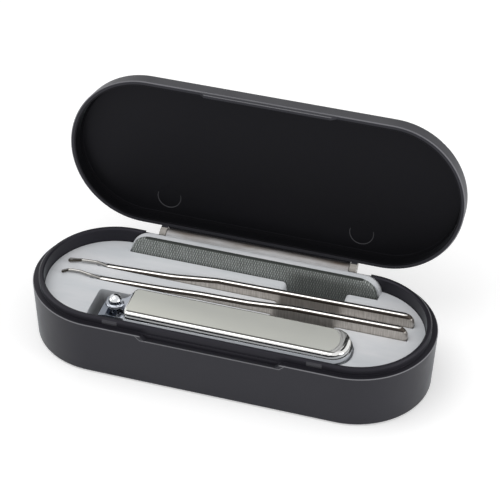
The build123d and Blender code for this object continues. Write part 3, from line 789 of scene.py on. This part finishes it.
@dataclass(frozen=True)
class BrushedSteel(Finish):
    """Steel brushed one way, with fine scratches along it.

    Attributes:
        scratch: size of the scratches.
        shade: sRGB hex of the darker streaks.
        shade_share: how far they show.
    """

    scratch: tuple[float, float, float] = (6.0, 0.12, 0.12)
    shade: str = "#8d8b84"
    shade_share: float = 0.6

    def pattern(self, skin: Skin) -> None:
        """Adds scratches in colour, roughness and relief.

        Args:
            skin: the material's surface.
        """
        fine = skin.grain(self.scratch, detail=2.0)
        skin.cover("Base Color", (skin.spread(fine, 0.0, self.shade_share), self.shade))
        skin.roughen(fine, less=0.06, more=0.08)
        skin.relief(fine, depth=0.004, strength=0.5)


@dataclass(frozen=True)
class ChromedSteel(Finish):
    """Chromed steel, buffed bright, with the faint cloud that handling leaves.

    Attributes:
        head_x: X left of which the jaws' heads, down in the pocket, get painted shade, or 0
            for none.
        head_fade: length over which that painted shade sets in.
        head: sRGB hex of the painted shade on the heads.
        cloud: size of the clouds.
        edge_round: radius to which edges look rounded.
    """

    head_x: float = 0.0
    head_fade: float = 2.0
    head: str = "#7c828c"
    cloud: float = 5.0
    edge_round: float = 0.1

    def pattern(self, skin: Skin) -> None:
        """Adds faint clouds in the roughness, and the painted shade on the heads.

        Args:
            skin: the material's surface.
        """
        if self.head_x < 0:
            # The heads lie down in the clipper's pocket; their darker colour is painted shade.
            painted_head_shade = skin.spread(skin.x, 1.0, 0.0, self.head_x - self.head_fade, self.head_x)
            skin.cover("Base Color", (painted_head_shade, self.head))
        cloud = skin.grain(self.cloud, detail=4.0)
        skin.roughen(cloud, less=0.0, more=0.09)
        skin.relief(cloud, depth=0.01, strength=0.3, edge=self.edge_round)


@dataclass(frozen=True)
class CrossCutSteel(Finish):
    """Hardened steel cut by two crossing rows of teeth: dull grey, with upright scorings.

    Attributes:
        pitch: spacing of the teeth.
        lean: degrees of each row of teeth from upright.
        tooth: how steeply a tooth rises out of its valley.
        valley: sRGB hex between the teeth.
        worn: size of the patches where the teeth are worn.
        worn_least: share of the valleys' darkness that stays there.
        score_pitch: spacing of the upright scorings.
        score: sRGB hex of the scorings, the dark top edge and the painted shade at low right.
        score_share: how far they show.
        score_crest: share of a row's height from which it counts as scored.
        top: height above which the broken edge is dark.
        notch_shade_share: how far the low right part is darkened by painted shade.
        notch_shade_heights: heights between which that fades out.
        notch_shade_from: X between which it sets in.
    """

    # A cut file has teeth 0.3 mm apart; drawn coarser so that they show.
    pitch: float = 0.66
    lean: float = 22.0
    tooth: float = 1.7
    valley: str = "#5a5f5b"
    worn: float = 3.0
    worn_least: float = 0.7
    score_pitch: float = 1.0
    score: str = "#3c403d"
    score_share: float = 0.55
    score_crest: float = 0.8
    top: float = 21.22
    notch_shade_share: float = 0.55
    notch_shade_heights: Span = (18.4, 20.6)
    notch_shade_from: Span = (10.0, 16.0)

    def pattern(self, skin: Skin) -> None:
        """Adds the rows of teeth, the scorings, the dark top edge and the painted shade at low
        right.

        Args:
            skin: the material's surface.
        """
        rows = [self.rows(skin, self.pitch, side * self.lean) for side in (1, -1)]
        teeth = skin.calc("MULTIPLY", skin.overlap(*rows), self.tooth, clamp=True)
        worn = skin.spread(skin.grain(self.worn, detail=4.0), self.worn_least, 1.0)
        score = skin.spread(self.rows(skin, self.score_pitch, 0.0), 0.0, self.score_share,
                            self.score_crest, 1.0)
        # Painted shade on the low right part, over the finger notch, in the scorings' colour.
        shade_painted = skin.overlap(
            skin.spread(skin.z, self.notch_shade_share, 0.0, *self.notch_shade_heights),
            skin.spread(skin.x, 0.0, 1.0, *self.notch_shade_from))
        skin.cover("Base Color", (skin.overlap(skin.outside(teeth), worn), self.valley),
                   (score, self.score), (skin.above(skin.z, self.top), self.score),
                   (shade_painted, self.score))
        skin.relief(skin.less(teeth, score), depth=0.05, strength=0.6)

    def rows(self, skin: Skin, pitch: float, lean: float) -> Node:
        """Adds one set of parallel ridges.

        Args:
            skin: the material's surface.
            pitch: spacing of the ridges.
            lean: degrees from upright.

        Returns:
            The ridges, from 0 to 1 across each.
        """
        turned = skin.node("Mapping", {"Vector": skin.place,
                                       "Rotation": (0, math.radians(lean), 0)})
        # Wave draws one band for each 2 pi / 20 of its scaled coordinate.
        wave = skin.node("TexWave", {"Vector": turned, "Scale": math.tau / 20 / pitch,
                                     "Distortion": 0.4, "Detail": 1.0}, bands_direction="X")
        return wave.outputs["Fac"]


class Stuff(Enum):
    """Every finish of the set, with what it gives the eye."""

    # Soft charcoal walls, a fine painted highlight on the rim, a lip inside in painted shade.
    BASE_ABS = CaseShellABS("Charcoal ABS, moulded, base", "#28282c", 0.42, specular=0.26,
                            inner="#1c1b20", inside_heights=(15.0, 99.0), notch_half=20.5,
                            bead_x=30.0)
    # The same charcoal: a ceiling painted nearly black as shade, two faint round marks on it.
    LID_ABS = CaseShellABS("Charcoal ABS, moulded, lid", "#323236", 0.42, specular=0.16,
                           open_angle=OPEN_ANGLE, sheen=0.1, inner="#0b0b0d",
                           inside_heights=(-1.0, 23.2), edge="#747478", edge_low=18.0,
                           edge_high=18.3, edge_depth=0.34, edge_round=0.12,
                           ring_places=(-29.8, 29.8), notch_half=20.3, notch_low=16.85,
                           notch_depth=0.42)
    # Painted near black, darker than the lid's charcoal, as the shade between lid and barrel.
    WEB_ABS = CaseShellABS("Charcoal ABS, moulded, hinge web", "#111114", 0.5, specular=0.15,
                           open_angle=OPEN_ANGLE, sheen=0.0, ear="#121011", edge_low=0.0,
                           edge_high=0.0)
    # Cool pale grey with slow flow marks, and brown painted shade along the hinge.
    TRAY = TrayPolystyrene("Grey polystyrene, moulded", "#ebecef", 0.38)
    # A milky warm grey top that blurs what it mirrors, inside a hard bright border.
    LEVER = SatinSteel("Stainless steel, satin with bright edges", "#cfd0ca", 0.55,
                       metallic=0.75)
    # Warm grey faces with upright hair lines, one thin white edge over a painted reflection
    # line.
    NEAR_PICK = GroundSteel("Stainless steel, ground across, near pick", "#d3cdc7", 0.42,
                            metallic=0.8, slim_left=-21.0,
                            hollow=Hollow(-51.4, 0.66, 0.84, 16.43, 0.36, -50.9),
                            profile=pick_profile(51.55, ((34.4, 3.2), (47.2, 2.15),
                                                         (61.6, 1.95), (71.6, 1.4),
                                                         (92.6, 0.75))))
    # As the near pick, on a longer taper and with a wider scoop.
    FAR_PICK = GroundSteel("Stainless steel, ground across, far pick", "#d3cdc7", 0.42,
                           metallic=0.8, slim_left=-25.0,
                           hollow=Hollow(-50.5, 5.8, 0.28, 16.64, 0.46, -48.6),
                           profile=pick_profile(52.05, ((58.6, 3.2), (72.6, 1.5),
                                                        (93.1, 0.75))))
    # Dull grey-green, a glittering net of points crossed by dark upright lines.
    FILE = CrossCutSteel("Hardened steel, cross-cut", "#b0b4b2", 0.55, metallic=0.3)
    # Mirror bright, with the faintest cloud.
    BRIGHT = ChromedSteel("Steel, chromed", "#d3d5d8", 0.1, metallic=1.0)
    # The same mirror, with blue-grey painted shade where the heads lie in the pocket.
    JAWS = ChromedSteel("Steel, chromed, handled", "#d3d5d8", 0.1, metallic=1.0,
                        head_x=-29.5)
    # Plain drawn grey with streaks along it.
    PIN = BrushedSteel("Drawn steel wire", "#a2a2a0", 0.35, metallic=1.0)


class Materials:
    """Makes each finish once and hands it out."""

    def __init__(self) -> None:
        """Starts with nothing made."""
        self.made: dict[Stuff, bpy.types.Material] = {}

    def get(self, stuff: Stuff) -> bpy.types.Material:
        """Gives a finish's material.

        Args:
            stuff: the finish.

        Returns:
            The material, made on first use.
        """
        if stuff not in self.made:
            self.made[stuff] = stuff.value.material()
        return self.made[stuff]


@dataclass(frozen=True)
class HingeWeb:
    """Web that joins the lid's back wall to the strip over the hinge barrel.

    Places are those of the closed lid; angles are in degrees about the hinge's axis.

    Attributes:
        half_length: half of its length along X.
        wall_y: Y of the lid's back wall.
        top: height at which it meets that wall.
        toe: how far over the arc's start its lower corner lies.
        inner_radius: of the arc round the barrel.
        start: angle at which the arc starts.
        end: angle at which it ends.
        steps: edges along the arc.
    """

    half_length: float = 28.1
    wall_y: float = 23.15
    top: float = 20.05
    toe: float = 0.1
    inner_radius: float = 1.8
    start: float = 150.0
    end: float = 118.0
    steps: int = 8

    def build(self, stuff: bpy.types.Material) -> None:
        """Makes the web in its open place and hangs it on the lid.

        Args:
            stuff: its material.
        """
        axis = Vector((0, HINGE_Y, HINGE_Z))
        shape = bmesh.new()
        # The section: an arc round the barrel, then two corners on the lid's wall.
        foot = axis + Matrix.Rotation(math.radians(self.start), 3, "X") @ Vector(
            (0, self.inner_radius, 0))
        foot.x = -self.half_length
        bmesh.ops.spin(shape, geom=[shape.verts.new(foot)], cent=axis, axis=(1, 0, 0),
                       angle=math.radians(self.end - self.start), steps=self.steps,
                       use_merge=False, use_duplicate=False)
        for height in (self.top, foot.z + self.toe):
            shape.verts.new((-self.half_length, self.wall_y, height))
        section = shape.faces.new(shape.verts)
        # The web is that section drawn along X, turned to where the lid stands open.
        grown = bmesh.ops.extrude_face_region(shape, geom=[section])["geom"]
        bmesh.ops.translate(shape, vec=(2 * self.half_length, 0, 0),
                            verts=[v for v in grown if isinstance(v, bmesh.types.BMVert)])
        bmesh.ops.rotate(shape, verts=shape.verts, cent=axis,
                         matrix=Matrix.Rotation(math.radians(-OPEN_ANGLE), 3, "X"))
        bmesh.ops.scale(shape, verts=shape.verts, vec=(MM, MM, MM))
        bmesh.ops.recalc_face_normals(shape, faces=shape.faces)
        mesh = bpy.data.meshes.new("hinge_web")
        shape.to_mesh(mesh)
        shape.free()
        mesh.materials.append(stuff)
        web = bpy.data.objects.new("hinge_web", mesh)
        bpy.context.scene.collection.objects.link(web)
        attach(web, "lid")
        LOG.info("built hinge_web, %d faces", len(mesh.polygons))


@dataclass(frozen=True)
class SubAssembly:
    """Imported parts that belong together.

    Attributes:
        finishes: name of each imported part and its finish.
    """

    finishes: tuple[tuple[str, Stuff], ...]

    def build(self, materials: Materials) -> None:
        """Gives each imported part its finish.

        Args:
            materials: what makes the materials.
        """
        for name, stuff in self.finishes:
            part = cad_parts[name]
            part.data.materials.clear()
            part.data.materials.append(materials.get(stuff))
            LOG.info("dressed %s in %s", name, stuff.value.name)


@dataclass(frozen=True)
class Case(SubAssembly):
    """Base, lid, tray and hinge pin, with the web at the lid's hinge side.

    Attributes:
        finishes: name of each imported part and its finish.
        web: the web.
    """

    finishes: tuple[tuple[str, Stuff], ...] = (
        ("base_shell", Stuff.BASE_ABS), ("lid_shell", Stuff.LID_ABS),
        ("insert_tray", Stuff.TRAY), ("hinge_pin", Stuff.PIN))
    web: HingeWeb = HingeWeb()

    def build(self, materials: Materials) -> None:
        """Dresses the mouldings and the pin, and adds the web.

        Args:
            materials: what makes the materials.
        """
        super().build(materials)
        # The web's near black is painted shade.
        self.web.build(materials.get(Stuff.WEB_ABS))


@dataclass(frozen=True)
class FlatTools(SubAssembly):
    """The two picks and the file, which stand on edge in the tray."""

    finishes: tuple[tuple[str, Stuff], ...] = (
        ("far_pick", Stuff.FAR_PICK), ("near_pick", Stuff.NEAR_PICK),
        ("nail_file", Stuff.FILE))


@dataclass(frozen=True)
class Clipper(SubAssembly):
    """The folded nail clipper."""

    finishes: tuple[tuple[str, Stuff], ...] = (
        ("clipper_lower_jaw", Stuff.JAWS), ("clipper_upper_jaw", Stuff.JAWS),
        ("clipper_pin", Stuff.BRIGHT), ("clipper_tail_rivet", Stuff.BRIGHT),
        ("clipper_lever", Stuff.LEVER))


def seen_rays(tree: Tree) -> Feed:
    """Adds a mask that is 1 for rays of the lens, of gloss and of clear stuff.

    Args:
        tree: node tree that takes the nodes.

    Returns:
        The mask.
    """
    rays = add_node(tree, "LightPath").outputs
    seen = rays["Is Camera Ray"]
    for other in (rays["Is Glossy Ray"], rays["Is Transmission Ray"]):
        seen = add_node(tree, "Math", {0: seen, 1: other}, operation="MAXIMUM")
    return seen


@dataclass(frozen=True)
class Lamp:
    """A soft square lamp that points at the object.

    Attributes:
        name: its name.
        place: where it hangs, in metres.
        size: its side, in metres.
        power: in watts.
    """

    name: str
    place: tuple[float, float, float]
    size: float
    power: float

    def build(self, target: Vector) -> None:
        """Hangs the lamp.

        Args:
            target: where it points, in metres.
        """
        light = bpy.data.lights.new(self.name, "AREA")
        light.size = self.size
        light.energy = self.power
        lamp = bpy.data.objects.new(self.name, light)
        bpy.context.scene.collection.objects.link(lamp)
        turn = (target - Vector(self.place)).to_track_quat("-Z", "Y").to_matrix().to_4x4()
        lamp.matrix_world = Matrix.Translation(self.place) @ turn


@dataclass(frozen=True)
class Studio:
    """Floor, room, lamps and camera.

    Attributes:
        floor_size: side of the floor, in metres.
        floor_colour: sRGB hex of the floor.
        floor_glow: what the lens and gloss see added to the floor.
        room_level: strength of the room's even light.
        lamps: the lamps.
        azimuth: degrees of the camera from the front towards the right.
        elevation: degrees of the camera above the floor.
        roll: degrees by which it is turned about its view.
        distance: from the camera to its target.
        target: what it looks at.
        lens: focal length.
        sensor: width of the sensor.
        clip: nearest and farthest distance that it sees, in metres.
    """

    floor_size: float = 3.0
    floor_colour: str = "#f6f6f6"
    floor_glow: float = 0.3
    room_level: float = 0.62
    lamps: tuple[Lamp, ...] = (Lamp("key", (-0.25, -0.15, 0.75), 0.6, 1.6),
                               Lamp("left strip", (-0.65, -0.25, 0.18), 0.35, 0.8),
                               Lamp("right strip", (0.6, -0.1, 0.12), 0.3, 1.6))
    azimuth: float = 16.13
    elevation: float = 38.21
    roll: float = 0.88
    distance: float = 557.6
    target: tuple[float, float, float] = (4.93, 0.0, 37.67)
    lens: float = 142.7
    sensor: float = 36.0
    clip: Span = (0.01, 20.0)

    def build(self) -> None:
        """Builds the whole studio."""
        self.floor()
        self.room()
        target = Vector(self.target) * MM
        for lamp in self.lamps:
            lamp.build(target)
        self.camera(target)

    def floor(self) -> None:
        """Lays the floor, which the lens and gloss see lifted to white."""
        mesh = bpy.data.meshes.new("floor")
        shape = bmesh.new()
        bmesh.ops.create_grid(shape, x_segments=1, y_segments=1, size=self.floor_size / 2)
        shape.to_mesh(mesh)
        shape.free()
        floor = bpy.data.objects.new("floor", mesh)
        bpy.context.scene.collection.objects.link(floor)
        # Uncoated paper: even white without a glint, so that only soft shade shows on it.
        paper = bpy.data.materials.new("Paper, matt white")
        paper.use_nodes = True
        tree = paper.node_tree
        tree.nodes.clear()
        matt = add_node(tree, "BsdfDiffuse", {"Color": linear(self.floor_colour)})
        strength = add_node(tree, "Math", {0: seen_rays(tree), 1: self.floor_glow},
                            operation="MULTIPLY")
        glow = add_node(tree, "Emission", {"Color": (1, 1, 1, 1), "Strength": strength})
        both = add_node(tree, "AddShader", {0: matt, 1: glow})
        add_node(tree, "OutputMaterial", {"Surface": both})
        mesh.materials.append(paper)

    def room(self) -> None:
        """Lights the room evenly, and shows white to the lens and to gloss."""
        world = bpy.data.worlds.new("room")
        bpy.context.scene.world = world
        world.use_nodes = True
        tree = world.node_tree
        tree.nodes.clear()
        even, white = (add_node(tree, "Background", {"Color": (1, 1, 1, 1), "Strength": level})
                       for level in (self.room_level, 1.0))
        mix = add_node(tree, "MixShader", {0: seen_rays(tree), 1: even, 2: white})
        add_node(tree, "OutputWorld", {"Surface": mix})

    def camera(self, target: Vector) -> None:
        """Sets the camera.

        Args:
            target: what it looks at, in metres.
        """
        az, el, roll = (math.radians(a) for a in (self.azimuth, self.elevation, self.roll))
        back = Vector((math.sin(az) * math.cos(el), -math.cos(az) * math.cos(el),
                       math.sin(el)))
        right = Vector((math.cos(az), math.sin(az), 0))
        up = back.cross(right)
        right, up = (right * math.cos(roll) + up * math.sin(roll),
                     up * math.cos(roll) - right * math.sin(roll))
        data = bpy.data.cameras.new("camera")
        data.sensor_width = self.sensor
        data.lens = self.lens
        data.clip_start, data.clip_end = self.clip
        camera = bpy.data.objects.new("camera", data)
        bpy.context.scene.collection.objects.link(camera)
        turn = Matrix((right, up, back)).transposed().to_4x4()
        camera.matrix_world = Matrix.Translation(target + back * self.distance * MM) @ turn
        bpy.context.scene.camera = camera


def main() -> None:
    """Dresses the set and builds the studio."""
    logging.basicConfig(level=logging.INFO, format="%(message)s")
    materials = Materials()
    for group in (Case(), FlatTools(), Clipper()):
        group.build(materials)
    bpy.context.scene.view_settings.view_transform = "Standard"
    Studio().build()


if __name__ == "__main__":
    main()
